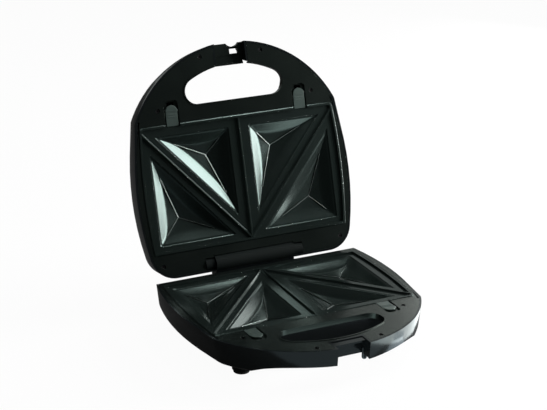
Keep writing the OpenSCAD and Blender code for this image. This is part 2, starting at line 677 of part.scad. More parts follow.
// Thermostat and fuse under the lid's tray, and the two lamps behind the lid's lenses
module thermostat() color(steel) in_lid() translate([-30, 10, tray_bottom]) {
    translate([0, 0, -8]) cylinder(r = 8, h = 8, $fn = 48);
    translate([-12, -3.5, -1]) cube([24, 7, 1]);
}
module thermal_fuse() color(steel) in_lid() translate([20, 4, tray_bottom - 2.1]) rotate([-90, 0, 0]) {
    cylinder(r = 2, h = 12, $fn = 32);
    translate([0, 0, -5]) cylinder(r = 0.5, h = 22, $fn = 16);
}
module lens(x) in_lid() translate([x, lamp_y, 0]) {
    translate([0, 0, -half_depth - 0.5]) cylinder(r = lens_r, h = wall + 0.6, $fn = 32);
    translate([0, 0, -half_depth + wall + 0.05]) cylinder(r = lens_r + 1.5, h = 1.2, $fn = 32);
}
module neon_lamps() color("orange") in_lid() both_sides() translate([lamp_x, lamp_y, -half_depth + wall + 1.45])
    cylinder(r = 2.2, h = 12, $fn = 32);

// Latch: a flap on two pins that folds into the notch and hooks under the base's keeper
module latch_body() difference() {
    union() {
        block(latch_half, -latch_head, latch_length, -latch_t + latch_face, latch_face);
        rod_x(-latch_half, 2 * latch_half, latch_face, 48);
        block(latch_half, latch_length - hook_t, latch_length, -latch_t + latch_face - hook_reach, latch_face);
    }
    translate([window_x, 0.6, -20]) cube([window_w, window_l, 40]);
    translate([scoop_x, -latch_head - 5, -20]) cylinder(r = 9, h = 40, $fn = 48);
    block(latch_half + 1, 7, latch_length - 2.4, latch_face - 0.8, latch_face + 5);
    both_sides() rod_x(latch_half - pin_grip, 10, latch_pin_r + 0.05);
}
module latch_clip() color(black_satin) in_lid() translate([0, latch_y, lid_latch_z]) latch_body();
module latch_pins() color(steel) in_lid() translate([0, latch_y, lid_latch_z]) both_sides()
    rod_x(latch_half - pin_grip + 0.3, notch_half + pin_reach - latch_half + pin_grip - 0.3, latch_pin_r);

module base_plate() color(non_stick) in_base() hot_plate();
module lid_plate() color(non_stick) in_lid() hot_plate();
module base_element() color(steel) in_base() element();
module lid_element() color(steel) in_lid() element();
module base_reflector() color(steel) in_base() tray();
module lid_reflector() color(steel) in_lid() tray();
module base_release_left() color(tab_grey) in_base() translate([-tab_x, 0, 0]) release_tab();
module base_release_right() color(tab_grey) in_base() translate([tab_x, 0, 0]) release_tab();
module lid_release_left() color(tab_grey) in_lid() translate([-tab_x, 0, 0]) release_tab();
module lid_release_right() color(tab_grey) in_lid() translate([tab_x, 0, 0]) release_tab();
module base_screws() color(steel) in_base() difference() {
    screws(shelf_z, rear_screw_length + shelf_t - 1.6);
}
module lid_screws() color(steel) in_lid() screws(deck_top, screw_length);
module power_lens() color("red") lens(-lamp_x);
module ready_lens() color("green") lens(lamp_x);

base_shell();
base_deck();
base_plate();
base_element();
base_reflector();
base_release_left();
base_release_right();
base_screws();
foot_pads();
cord_bush();
cord_clamp();
cord_clamp_screws();
terminal_block();
hinge_pins();
lid_shell();
lid_deck();
lid_plate();
lid_element();
lid_reflector();
lid_release_left();
lid_release_right();
lid_screws();
thermostat();
thermal_fuse();
power_lens();
ready_lens();
neon_lamps();
latch_clip();
latch_pins();
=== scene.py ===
# %% [markdown]
# A sandwich toaster stands open on a white table: a base with a hot plate, and a lid with a second hot
# plate that swings on a hinge at the back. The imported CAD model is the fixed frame: its pieces hang on
# bodies that can move, and what is made here hangs on the same bodies. Every object is in metres. X runs
# to the right seen from the handle, Y to the hinge and Z up.

# %% Load the frame
import bpy
import bmesh
import json
from math import pi, radians
from mathutils import Matrix, Vector

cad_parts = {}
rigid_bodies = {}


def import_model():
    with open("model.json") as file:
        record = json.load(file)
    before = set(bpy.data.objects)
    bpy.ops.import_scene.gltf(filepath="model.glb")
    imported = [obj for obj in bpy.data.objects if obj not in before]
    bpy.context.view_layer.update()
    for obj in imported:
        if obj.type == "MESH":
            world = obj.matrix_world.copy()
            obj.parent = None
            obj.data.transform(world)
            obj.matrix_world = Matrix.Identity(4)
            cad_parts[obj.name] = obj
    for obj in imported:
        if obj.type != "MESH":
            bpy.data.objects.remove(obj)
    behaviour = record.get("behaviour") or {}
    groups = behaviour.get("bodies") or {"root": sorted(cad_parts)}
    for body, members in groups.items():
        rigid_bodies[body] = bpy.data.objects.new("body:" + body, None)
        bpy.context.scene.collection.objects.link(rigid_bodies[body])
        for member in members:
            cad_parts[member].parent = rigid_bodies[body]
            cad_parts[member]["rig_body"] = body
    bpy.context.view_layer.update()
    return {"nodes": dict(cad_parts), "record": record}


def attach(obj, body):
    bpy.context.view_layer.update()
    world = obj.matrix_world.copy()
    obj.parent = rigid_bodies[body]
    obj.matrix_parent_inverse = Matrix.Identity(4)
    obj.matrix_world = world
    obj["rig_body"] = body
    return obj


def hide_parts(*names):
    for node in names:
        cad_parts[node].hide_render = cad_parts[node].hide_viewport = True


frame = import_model()
nodes = frame["nodes"]
scene = bpy.context.scene

# %% [markdown]
# Both halves of a toaster are nearly the same moulding. So both are drawn in one small drawing, in
# millimetres, with zero height on the plane where the plates' rims meet. One matrix stands the drawing on
# the table as the base. The other turns it upside down, closes it on the base with a small gap and swings
# it open about the hinge, as the lid. Modelling in place would mean working at a slant on the lid.

# %% Where the two halves stand
PARTING_HEIGHT = 45
MIDDLE_Y = 15.33
HINGE = Vector((0, 93, 6))
OPEN_ANGLE = radians(106)
CLOSED_GAP = 0.4

millimetres = Matrix.Scale(0.001, 4)
AS_BASE = millimetres @ Matrix.Translation((0, -MIDDLE_Y, PARTING_HEIGHT))
to_hinge = Matrix.Translation(HINGE)
swing = to_hinge @ Matrix.Rotation(-OPEN_ANGLE, 4, "X") @ to_hinge.inverted()
upside_down = Matrix.Translation((0, 0, CLOSED_GAP)) @ Matrix.Scale(-1, 4, (0, 0, 1))
AS_LID = AS_BASE @ swing @ upside_down
HALVES = {"base": AS_BASE, "lid": AS_LID}
hinge_axis = AS_BASE @ HINGE
print("lid hinge at", [round(v, 4) for v in hinge_axis])

# %% [markdown]
# The camera looks down from the front left with a long lens, so both plates and the front of the handle
# show, and parallel edges stay nearly parallel. A camera can be turned by hand until it looks right. Here
# its three directions come from the photograph's vanishing lines, so they are written as a matrix.

# %% Camera
SENSOR_WIDTH = 36
LENS = 103.377
CAMERA_PLACE = Vector((-0.65513, -1.33894, 0.69777))
CAMERA_RIGHT = Vector((0.90165, -0.43246, 0))
CAMERA_UP = Vector((0.15249, 0.31793, 0.93577))

camera = bpy.data.objects.new("camera", bpy.data.cameras.new("camera"))
scene.collection.objects.link(camera)
camera.data.sensor_width = SENSOR_WIDTH
camera.data.lens = LENS
camera_back = CAMERA_RIGHT.cross(CAMERA_UP)
turned = Matrix((CAMERA_RIGHT, CAMERA_UP, camera_back)).transposed().to_4x4()
camera.matrix_world = Matrix.Translation(CAMERA_PLACE) @ turned
scene.camera = camera
scene.view_settings.view_transform = "Standard"
print("camera looks along", [round(v, 3) for v in -camera_back])

# %% [markdown]
# Black plastic shows little colour of its own. What it mirrors makes its shape readable, so the room is
# planned as the things that each face should mirror. White paper hangs low at the back right, which the
# flat deck of the base mirrors. The front and the ceiling stay dark, which the lid and the pockets mirror.
# An image of a studio would do the same, but a ramp over the direction needs no file. The camera itself
# sees only white.

# %% Helpers for node trees
def feed(tree, socket, value):
    """Gives a socket a number, or another node's output."""
    if isinstance(value, bpy.types.NodeSocket):
        tree.links.new(value, socket)
    else:
        socket.default_value = value


def math_node(tree, operation, *values):
    """The result of a Math node."""
    node = tree.nodes.new("ShaderNodeMath")
    node.operation = operation
    for socket, value in zip(node.inputs, values):
        feed(tree, socket, value)
    return node.outputs[0]


def mix_shaders(tree, share, first, second):
    """The first shader where share is 0, the second where it is 1."""
    node = tree.nodes.new("ShaderNodeMixShader")
    for socket, value in zip(node.inputs, (share, first, second)):
        feed(tree, socket, value)
    return node.outputs[0]


# %% The paper round the room
BACK_SHARE = 0.6
HEIGHT_SHARE = -0.8
PAPER_RAMP = ((0.1, (0.025, 0.025, 0.025, 1)), (0.6, (0.40, 0.42, 0.41, 1)))

world = bpy.data.worlds.new("room")
scene.world = world
world.use_nodes = True
tree = world.node_tree
tree.nodes.clear()
direction = tree.nodes.new("ShaderNodeTexCoord")
axes = tree.nodes.new("ShaderNodeSeparateXYZ")
tree.links.new(direction.outputs["Generated"], axes.inputs[0])
to_back_right = math_node(tree, "MULTIPLY_ADD", axes.outputs["Y"], BACK_SHARE, axes.outputs["X"])
and_low = math_node(tree, "MULTIPLY_ADD", axes.outputs["Z"], HEIGHT_SHARE, to_back_right)
paper = tree.nodes.new("ShaderNodeValToRGB")
for stop, (position, grey) in zip(paper.color_ramp.elements, PAPER_RAMP):
    stop.position = position
    stop.color = grey
tree.links.new(and_low, paper.inputs[0])
mirrored_room = tree.nodes.new("ShaderNodeBackground")
tree.links.new(paper.outputs["Color"], mirrored_room.inputs["Color"])
seen_room = tree.nodes.new("ShaderNodeBackground")
seen_room.inputs["Color"].default_value = (1, 1, 1, 1)
by_camera = tree.nodes.new("ShaderNodeLightPath").outputs["Is Camera Ray"]
room = mix_shaders(tree, by_camera, mirrored_room.outputs[0], seen_room.outputs[0])
output = tree.nodes.new("ShaderNodeOutputWorld")
tree.links.new(room, output.inputs["Surface"])
print("paper ramp:", PAPER_RAMP)

# %% [markdown]
# Four soft boxes hang round the toaster. Each is placed by asking where a ray from the camera goes after
# one face mirrors it. The big one at the right makes the white bands in the lid's pockets, and its power
# can be high because the flat faces don't point at it. The small high one draws the plate's rim. The one
# behind brightens the deck's right end, and the large one overhead lifts everything a little.

# %% Soft boxes
AIM = Vector((0, 0, 0.08))


def soft_box(name, place, size, power):
    """A square lamp at place that faces the toaster and that the camera doesn't see."""
    lamp = bpy.data.objects.new(name, bpy.data.lights.new(name, "AREA"))
    scene.collection.objects.link(lamp)
    lamp.data.shape = "RECTANGLE"
    lamp.data.size, lamp.data.size_y = size
    lamp.data.energy = power
    lamp.visible_camera = False
    turn = (AIM - Vector(place)).to_track_quat("-Z", "Y").to_matrix().to_4x4()
    lamp.matrix_world = Matrix.Translation(place) @ turn
    return lamp


soft_box("box_over", place=(-0.3, -0.35, 2.0), size=(1.6, 1.1), power=10)
soft_box("box_edges", place=(0.7, -0.06, 1.8), size=(0.44, 0.2), power=5.8)
soft_box("box_right", place=(1.2, -0.25, 0.48), size=(0.7, 0.95), power=40)
soft_box("box_window", place=(1.0, 0.75, 0.4), size=(0.6, 0.7), power=5)

# %% [markdown]
# Upright walls mirror the table near them, and a real white table is bright there. Lighting the whole
# table so brightly would flood the dark pockets too. So lamps lie just above the table and face up, each
# only where one wall looks: right of the base, along its right front, at its corner, in front of the
# handle, and under the handle for the wall of the finger hole.

# %% Lamps on the table
LYING_HEIGHT = 0.004
BLUISH = (0.8, 0.92, 1)
face_up = Matrix.Rotation(pi, 4, "X")

for name, x, y, size, power, turn, tone in (
    ("box_low", 0.9, 0.12, (0.8, 0.75), 7, 0, (1, 1, 1)),
    ("box_beside", 0.153, -0.13, (0.24, 0.08), 0.2, 61, (0.94, 1, 1)),
    ("box_corner", 0.2, 0.03, (0.07, 0.07), 0.12, 0, (1, 1, 1)),
    ("box_front", 0.02, -0.27, (0.5, 0.2), 0.12, 0, BLUISH),
    ("box_hole", 0.03, -0.142, (0.2, 0.03), 0.035, 0, BLUISH),
):
    place = (x, y, LYING_HEIGHT)
    lying = soft_box(name, place, size, power)
    lying.matrix_world = Matrix.Translation(place) @ Matrix.Rotation(radians(turn), 4, "Z") @ face_up
    lying.data.color = tone

# %% [markdown]
# The table is so bright that it runs into the paper. Seen by the camera it is nearly all white light with
# a little matt white under it, so the toaster's soft shadow stays. In a reflection, and for the light that
# it throws back, it is nearly black, because the lying lamps do that work. A plain white plane would be
# simpler, but then no single wall could be set by itself.

# %% Table
TABLE_HALF = 6

bm = bmesh.new()
bmesh.ops.create_grid(bm, x_segments=1, y_segments=1, size=TABLE_HALF)
mesh = bpy.data.meshes.new("table")
bm.to_mesh(mesh)
bm.free()
table = bpy.data.objects.new("table", mesh)
scene.collection.objects.link(table)
print("table:", 2 * TABLE_HALF, "m wide")

# %% The table's white
GLOW_SHARE = 0.96
GLOW_IN_MIRROR = 0.03

white = bpy.data.materials.new("white_table")
white.use_nodes = True
tree = white.node_tree
tree.nodes.clear()
matt_white = tree.nodes.new("ShaderNodeBsdfDiffuse")
matt_white.inputs["Color"].default_value = (0.8, 0.8, 0.8, 1)
glow = tree.nodes.new("ShaderNodeEmission")
bright_side = mix_shaders(tree, GLOW_SHARE, matt_white.outputs[0], glow.outputs[0])
dark_side = tree.nodes.new("ShaderNodeBsdfDiffuse")
dark_side.inputs["Color"].default_value = (0.07, 0.07, 0.07, 1)
ray = tree.nodes.new("ShaderNodeLightPath")
in_mirror = math_node(tree, "MULTIPLY", ray.outputs["Is Glossy Ray"], GLOW_IN_MIRROR)
seen = math_node(tree, "MAXIMUM", in_mirror, ray.outputs["Is Camera Ray"])
output = tree.nodes.new("ShaderNodeOutputMaterial")
tree.links.new(mix_shaders(tree, seen, dark_side.outputs[0], bright_side), output.inputs["Surface"])
table.data.materials.append(white)
print("glow seen by the camera:", GLOW_SHARE, "and in a mirror:", GLOW_SHARE * GLOW_IN_MIRROR)

# %% [markdown]
# Moulded plastic is never one flat colour. Each finish here starts from a Principled shader and adds what
# the real surface has: a slow drift of colour, a roughness that changes a little where hands and cloths
# have been, and a fine skin of bumps. One noise drives the first two, because wear changes both at once.
# A painted image could do it too, but noise on Object coordinates needs no unwrapping.

# %% A helper for the finishes
CLOUD_SCALE, CLOUD_DETAIL = 22, 4
SKIN_DETAIL = 3
LEAST_ROUGHNESS = 0.02
COAT_ROUGHNESS = 0.12
NEUTRAL = (1, 1, 1)


def noise(tree, place, scale, detail):
    """Noise that stays with the piece."""
    node = tree.nodes.new("ShaderNodeTexNoise")
    node.inputs["Scale"].default_value = scale
    node.inputs["Detail"].default_value = detail
    tree.links.new(place, node.inputs["Vector"])
    return node.outputs["Fac"]


def finish(
    name, colour, drift, roughness, skin, skin_scale,
    metallic=0.0, coat=0.0, spread=0.05, tint=NEUTRAL, ior=1.5,
):
    """A moulded, coated or metal surface. colour drifts towards drift, and skin is its bumps' height."""
    material = bpy.data.materials.new(name)
    material.use_nodes = True
    tree = material.node_tree
    shader = tree.nodes["Principled BSDF"]
    shader.inputs["Metallic"].default_value = metallic
    shader.inputs["IOR"].default_value = ior
    shader.inputs["Specular Tint"].default_value = (*tint, 1)
    shader.inputs["Coat Weight"].default_value = coat
    shader.inputs["Coat Roughness"].default_value = COAT_ROUGHNESS
    place = tree.nodes.new("ShaderNodeTexCoord").outputs["Object"]
    cloud = noise(tree, place, CLOUD_SCALE, CLOUD_DETAIL)
    blend = tree.nodes.new("ShaderNodeMix")
    blend.data_type = "RGBA"
    blend.inputs["A"].default_value = (*colour, 1)
    blend.inputs["B"].default_value = (*drift, 1)
    tree.links.new(cloud, blend.inputs["Factor"])
    tree.links.new(blend.outputs["Result"], shader.inputs["Base Color"])
    wear = tree.nodes.new("ShaderNodeMapRange")
    wear.inputs["To Min"].default_value = max(roughness - spread, LEAST_ROUGHNESS)
    wear.inputs["To Max"].default_value = roughness + spread
    tree.links.new(cloud, wear.inputs["Value"])
    tree.links.new(wear.outputs["Result"], shader.inputs["Roughness"])
    bump = tree.nodes.new("ShaderNodeBump")
    bump.inputs["Strength"].default_value = 1
    bump.inputs["Distance"].default_value = skin
    tree.links.new(noise(tree, place, skin_scale, SKIN_DETAIL), bump.inputs["Height"])
    tree.links.new(bump.outputs["Normal"], shader.inputs["Normal"])
    return material


# %% [markdown]
# The mouldings that show are four kinds of black. The housing is polished, the deck inside it has a satin
# skin, the release tabs are a greyer green, and the feet are rubber. Only the terminal block inside is
# ivory. The photograph's blacks lean to green, and on black that lean sits in the reflection more than in
# the base colour, so the specular tint sets it.

# %% Finishes of the mouldings
FINISHES = {
    "housing": finish(
        "gloss_black", (0.004, 0.005, 0.0055), (0.006, 0.008, 0.0085), roughness=0.15,
        skin=0.00001, skin_scale=420, tint=(0.86, 1, 1),
    ),
    "deck": finish(
        "satin_black", (0.003, 0.0042, 0.004), (0.005, 0.007, 0.0065), roughness=0.22,
        skin=0.00002, skin_scale=1500, tint=(0.78, 1, 0.84), ior=1.55,
    ),
    "release_tab": finish(
        "tab_grey_green", (0.028, 0.040, 0.036), (0.038, 0.053, 0.048), roughness=0.36,
        skin=0.00002, skin_scale=1500, tint=(0.8, 1, 0.92),
    ),
    "rubber": finish(
        "foot_rubber", (0.070, 0.075, 0.078), (0.10, 0.105, 0.105), roughness=0.60,
        skin=0.00005, skin_scale=900,
    ),
    "terminal": finish(
        "ivory_moulding", (0.66, 0.62, 0.50), (0.72, 0.68, 0.56), roughness=0.45,
        skin=0.00002, skin_scale=900,
    ),
}
MATT = finish(
    "matt_black", (0.003, 0.0048, 0.0045), (0.005, 0.0075, 0.007), roughness=0.7,
    skin=0.00003, skin_scale=900, ior=1.15,
)
print("moulded finishes:", sorted(FINISHES))

# %% [markdown]
# The hot plates are cast aluminium under a black non-stick coat with a soft sheen. The lower one is wiped
# more often, so its coat is smoother. Where the coat is thin, on the rounded edges and on the creases of
# the pockets, metal shows through, so two worn metals go on those faces alone. Their bright grey is partly
# that wear and partly painted highlight: it draws the fine light lines that the edges and creases catch.

# %% Finishes of the hot plates
COAT, COAT_DRIFT = (0.006, 0.009, 0.008), (0.009, 0.013, 0.012)
COAT_TINT = (0.72, 1, 0.92)

FINISHES["non_stick"] = finish(
    "non_stick_coat", COAT, COAT_DRIFT, roughness=0.22, skin=0.00002, skin_scale=1900, tint=COAT_TINT,
)
WIPED = finish(
    "non_stick_wiped", COAT, COAT_DRIFT, roughness=0.15, skin=0.00002, skin_scale=1900,
    spread=0.03, tint=COAT_TINT,
)
# Worn metal on the creases' beads; its bright grey is also painted highlight, the creases' light lines.
CREASE_WEAR_AND_HIGHLIGHT = finish(
    "crease_wear_and_painted_highlight", (0.10, 0.12, 0.115), (0.16, 0.18, 0.17), roughness=0.3,
    skin=0.00001, skin_scale=700, metallic=1,
)
# Bright metal on the rounded edges: partly wear, partly painted highlight for the rim's light line.
EDGE_WEAR_AND_HIGHLIGHT = finish(
    "edge_wear_and_painted_highlight", (0.46, 0.50, 0.49), (0.60, 0.62, 0.62), roughness=0.25,
    skin=0.00001, skin_scale=700, metallic=1,
)
print("plate finishes:", FINISHES["non_stick"].name, WIPED.name, CREASE_WEAR_AND_HIGHLIGHT.name, EDGE_WEAR_AND_HIGHLIGHT.name)

# %% [markdown]
# The rest is small or hidden: blackened screws, zinc plated pins and clamps, the heating tube browned by
# its own heat, the bright tray under it, and the indicator lamps with their coloured lenses. They get the
# same helper, so a view from behind or with a piece taken off holds up too.

# %% Finishes of the metals and lamps
FINISHES |= {
    "black_steel": finish(
        "black_oxide", (0.030, 0.030, 0.032), (0.045, 0.045, 0.046), roughness=0.38,
        skin=0.00001, skin_scale=900, metallic=1,
    ),
    "steel": finish(
        "zinc_plate", (0.42, 0.43, 0.44), (0.55, 0.55, 0.54), roughness=0.32,
        skin=0.00001, skin_scale=900, metallic=1,
    ),
    "element": finish(
        "annealed_tube", (0.20, 0.19, 0.18), (0.30, 0.26, 0.22), roughness=0.42,
        skin=0.00002, skin_scale=700, metallic=1,
    ),
    "tray": finish(
        "aluminised_tray", (0.62, 0.63, 0.64), (0.72, 0.72, 0.72), roughness=0.30,
        skin=0.00002, skin_scale=400, metallic=1,
    ),
    "lens_red": finish(
        "red_lens", (0.30, 0.01, 0.01), (0.36, 0.015, 0.015), roughness=0.12,
        skin=0.00001, skin_scale=700, coat=0.5,
    ),
    "lens_green": finish(
        "green_lens", (0.01, 0.20, 0.03), (0.015, 0.26, 0.04), roughness=0.12,
        skin=0.00001, skin_scale=700, coat=0.5,
    ),
    "lamp": finish(
        "neon_glass", (0.80, 0.55, 0.38), (0.86, 0.62, 0.45), roughness=0.08,
        skin=0.00001, skin_scale=700, coat=0.5,
    ),
}
print("finishes:", len(FINISHES))

# %% [markdown]
# The frame's record names a material slot for every CAD node, so one loop gives each node its finish.

# %% Put the finishes on the CAD nodes
slot_of = {part["node"]: part["material_slot"] for part in frame["record"]["subparts"]}
for name, node in nodes.items():
    node.data.materials.clear()
    node.data.materials.append(FINISHES[slot_of[name]])
print("nodes with a finish:", len(slot_of))

# %% [markdown]
# A moulding has no knife edges. The CAD solids do, so a piece that the camera sees gets a dressed copy:
# its loose triangles are welded, flat fields joined, and every sharp edge rounded by a small bevel. The
# rounded edge is what catches a thin line of light. Remeshing would round the edges as well, but it would
# soften the flat fields, which have to stay true.

# %% Helpers that finish a piece
def finished_piece(name, mesh, body, slot, *replaced):
    """Hang a finished mesh on a body, give it its slot's finish, and let it stand for CAD nodes."""
    piece = bpy.data.objects.new(name, mesh)
    scene.collection.objects.link(piece)
    mesh.materials.append(FINISHES[slot])
    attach(piece, body)
    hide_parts(*replaced)
    return piece


def round_edges(piece, width, sharp, segments):
    """A live bevel on the edges that turn by more than sharp degrees."""
    bevel = piece.modifiers.new("rounded_edges", "BEVEL")
    bevel.width = width
    bevel.segments = segments
    bevel.limit_method = "ANGLE"
    bevel.angle_limit = radians(sharp)
    bevel.use_clamp_overlap = True
    bevel.harden_normals = True
    return bevel


# %% [markdown]
# The hinge barrel and the ears round its pins are matt, where the rest of the housing shines. They are
# part of the shells and not pieces of their own, so the faces near the hinge axis are found by their
# distance from it and get a second finish.

# %% A helper that dresses a CAD node
WELD = 0.000002
FLAT_ANGLE = 1.5
DRESS_SHARP = 28
MATT_AT_HINGE = ("base_shell", "lid_shell")
SHINY, KNUCKLE = 0, 1
KNUCKLE_REACH = 0.0125


def near_hinge(face):
    return all((v.co - hinge_axis).yz.length < KNUCKLE_REACH for v in face.verts)


def dress(node, edge):
    """A welded copy of a CAD node with rounded edges, edge metres wide."""
    bm = bmesh.new()
    bm.from_mesh(nodes[node].data)
    bmesh.ops.remove_doubles(bm, verts=bm.verts, dist=WELD)
    bmesh.ops.dissolve_limit(bm, angle_limit=radians(FLAT_ANGLE), verts=bm.verts, edges=bm.edges)
    for e in bm.edges:
        e.smooth = len(e.link_faces) == 2 and e.calc_face_angle(0) < radians(DRESS_SHARP)
    for face in bm.faces:
        face.smooth = True
        face.material_index = KNUCKLE if node in MATT_AT_HINGE and near_hinge(face) else SHINY
    mesh = bpy.data.meshes.new("dressed_" + node)
    bm.to_mesh(mesh)
    print(node, "dressed:", len(bm.faces), "faces")
    bm.free()
    piece = finished_piece("dressed_" + node, mesh, nodes[node]["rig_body"], slot_of[node], node)
    if node in MATT_AT_HINGE:
        mesh.materials.append(MATT)
    round_edges(piece, edge, DRESS_SHARP, segments=2)


# %% Dress the mouldings that the camera sees
for node, edge in {
    "base_shell": 0.0008,
    "lid_shell": 0.0008,
    "base_deck": 0.0004,
    "lid_deck": 0.0004,
    "latch_clip": 0.0004,
    "foot_pads": 0.0006,
    "base_screws": 0.0002,
    "lid_screws": 0.0002,
}.items():
    dress(node, edge)

# %% [markdown]
# The hot plate is one casting: a sheet with a raised rim, a straight divider and two slanting ridges that
# cut and seal the sandwich, and four triangular pockets. It could be carved from a block with Booleans,
# but a casting flows, so it starts as one flat outline that insets and extrusions raise and sink. The
# bowed sides come from a few points pushed out to an arc, and a vertex bevel rounds the corners.

# %% The plate's outline
PLATE_FRONT, PLATE_REAR = -60, 74.7
PLATE_HALF = 116
SIDE_ARC = 600
SIDE_MIDDLE = 10
SIDE_CUTS = 15
CORNER_RADIUS, CORNER_STEPS = 4.5, 6
NEAR = 0.001


def bowed(y):
    """How far the plate's side lies from the middle at y."""
    return PLATE_HALF - SIDE_ARC + (SIDE_ARC**2 - (y - SIDE_MIDDLE) ** 2) ** 0.5


def plate_outline(bm):
    """A flat face in the shape of the plate, with rounded corners."""
    bmesh.ops.create_grid(bm, x_segments=1, y_segments=1, size=1)
    sides = [e for e in bm.edges if abs(e.verts[0].co.x - e.verts[1].co.x) < NEAR]
    for v in bm.verts:
        v.co.y = PLATE_REAR if v.co.y > 0 else PLATE_FRONT
    bmesh.ops.subdivide_edges(bm, edges=sides, cuts=SIDE_CUTS)
    bmesh.ops.dissolve_faces(bm, faces=bm.faces[:])
    for v in bm.verts:
        v.co.x = bowed(v.co.y) * (1 if v.co.x > 0 else -1)
    corners = [v for v in bm.verts if v.co.y in (PLATE_REAR, PLATE_FRONT)]
    bmesh.ops.bevel(
        bm, geom=corners, affect="VERTICES", offset=CORNER_RADIUS, segments=CORNER_STEPS,
        profile=0.5, material=-1,
    )
    return bm.faces[:][0]


# %% [markdown]
# The rim keeps melted cheese in. It has a chamfer outside, which draws the bright line round the plate, a
# flat top, and an inner wall that leans so that the casting leaves its mould. Each is one inset with a
# depth. The outline's own edges are open, so the inset has to be told to count them too. Last, the open
# edge is drawn down to make the flange's side.

# %% The plate's rim
RIM_WIDTH = 3
RIM_CHAMFER, RIM_CHAMFER_DROP = 0.85, 0.68
RIM_LEAN = 0.35
LAND_DEPTH = 2.2
FLANGE_BOTTOM = -3.1


def only_verts(geometry):
    return [g for g in geometry if isinstance(g, bmesh.types.BMVert)]


def raise_rim(bm, outline):
    """The rim stands round the land: an outer chamfer, a flat top, then a leaning inner wall."""
    bmesh.ops.translate(bm, vec=(0, 0, -RIM_CHAMFER_DROP), verts=bm.verts)
    rim_top = RIM_WIDTH - RIM_CHAMFER
    for thickness, depth in ((RIM_CHAMFER, RIM_CHAMFER_DROP), (rim_top, 0), (RIM_LEAN, -LAND_DEPTH)):
        bmesh.ops.inset_region(
            bm, faces=[outline], thickness=thickness, depth=depth, use_boundary=True, use_even_offset=True,
        )
    skirt = [e for e in bm.edges if e.is_boundary]
    skirt_foot = only_verts(bmesh.ops.extrude_edge_only(bm, edges=skirt)["geom"])
    bmesh.ops.translate(bm, vec=(0, 0, FLANGE_BOTTOM + RIM_CHAMFER_DROP), verts=skirt_foot)
    return outline


# %% [markdown]
# Each half of a sandwich is a triangle, so a pocket is one too, and the front and rear ones of each side
# lie with their long sides along the diagonal ridge. What is left between a pocket and the rim, the
# divider or the ridge is flat land, which presses the bread shut. Most places follow from its widths.

# %% The pockets' places
DIVIDER_LAND, FRONT_LAND, SIDE_LAND, REAR_LAND = 11.5, 11.5, 12, 8.5
FRONT_END_X, FRONT_TIP_Y = 95.8, 46.9
REAR_END_X, REAR_TIP_Y = 17.1, -32.1
front_edge = PLATE_FRONT + FRONT_LAND
rear_edge = PLATE_REAR - REAR_LAND
outer_edge = PLATE_HALF - SIDE_LAND
FRONT_POCKET = [
    Vector((DIVIDER_LAND, front_edge, 0)),
    Vector((FRONT_END_X, front_edge, 0)),
    Vector((DIVIDER_LAND, FRONT_TIP_Y, 0)),
]
REAR_POCKET = [
    Vector((outer_edge, rear_edge, 0)),
    Vector((REAR_END_X, rear_edge, 0)),
    Vector((outer_edge, REAR_TIP_Y, 0)),
]
print("pockets:", FRONT_POCKET, REAR_POCKET)

# %% [markdown]
# Inside its lip a pocket has a narrow shelf that crimps the bread's edge, then a wall, then a floor that
# falls gently to the deepest point. The wall runs out to nothing in the very corners, so three fine
# creases stay high and run down to that point. A straight slope would be easier, but a cast wall meets
# shelf and floor in a curve, so its steps, each a share of its width and its depth, are uneven.

# %% The pockets' profile
SHELF = [(0.2, 0.7), (0.5, 0.95), (2.2, 1.2)]
SHELF_WIDTH, SHELF_DEPTH = SHELF[-1]
WALL_WIDTH, WALL_DEPTH = 13.0, 6.5
WALL_STEPS = [(0.05, 0.06), (0.3, 0.34), (0.6, 0.68), (0.8, 0.88), (0.92, 0.965), (1.0, 1.0)]
WALL_FADE = 0.12
FLOOR_STEPS = [0.15, 0.32, 0.5, 0.68, 0.84]
APEX_DEPTH = 10.2
LIP_CUTS = 23
LIP_CORNER, LIP_CORNER_STEPS = 2.2, 4
print("pocket depth:", LAND_DEPTH + APEX_DEPTH, "mm below the rim")

# %% [markdown]
# The deepest point is where the three corner lines meet, equally far from all sides. Walls of one width
# then meet the creases at the same height from both sides. How tall the wall is at a place of the lip
# follows from how far that place is from the corners.

# %% Helpers for a triangle
def double_area(a, b, c):
    return (b - a).cross(c - a).length


def inner_point(corners):
    """The point of a triangle that is equally far from its three sides, and that distance."""
    a, b, c = corners
    lengths = [(b - c).length, (c - a).length, (a - b).length]
    total = sum(lengths)
    middle = sum((corner * length for corner, length in zip(corners, lengths)), Vector()) / total
    return middle, double_area(a, b, c) / total


def share_of_side(point, corners):
    """0 in a corner of the triangle, 1 halfway along a side."""
    a, b, c = corners
    parts = sorted([double_area(point, b, c), double_area(point, c, a), double_area(point, a, b)])
    return 4 * parts[1] * parts[2] / (parts[1] + parts[2]) ** 2


print("front pocket's deepest point:", [round(v, 1) for v in inner_point(FRONT_POCKET)[0]])

# %% [markdown]
# A ring of the pocket is said by two numbers: how far it has moved from the lip towards the deepest point,
# as a share of the way, and how deep it lies. Both depend on how tall the wall is at that place, so each
# ring is a small function of that height. The lip is a triangle cut into many short edges, and each ring
# is those edges extruded once more and moved to their places. The last ring closes on one point.

# %% Sink the pockets
def pocket_rings(reach):
    """One function for each ring, from the height of the wall to (share of the way, depth)."""
    rings = [lambda tall, q=q, d=d: (q / reach, d) for q, d in SHELF]
    for w, d in WALL_STEPS:
        rings.append(lambda tall, w=w, d=d: (
            (SHELF_WIDTH + WALL_WIDTH * tall * w) / reach,
            SHELF_DEPTH + WALL_DEPTH * tall * d,
        ))
    foot = rings[-1]
    for f in FLOOR_STEPS:
        rings.append(lambda tall, f=f: tuple(a + (z - a) * f for a, z in zip(foot(tall), (1, APEX_DEPTH))))
    return rings


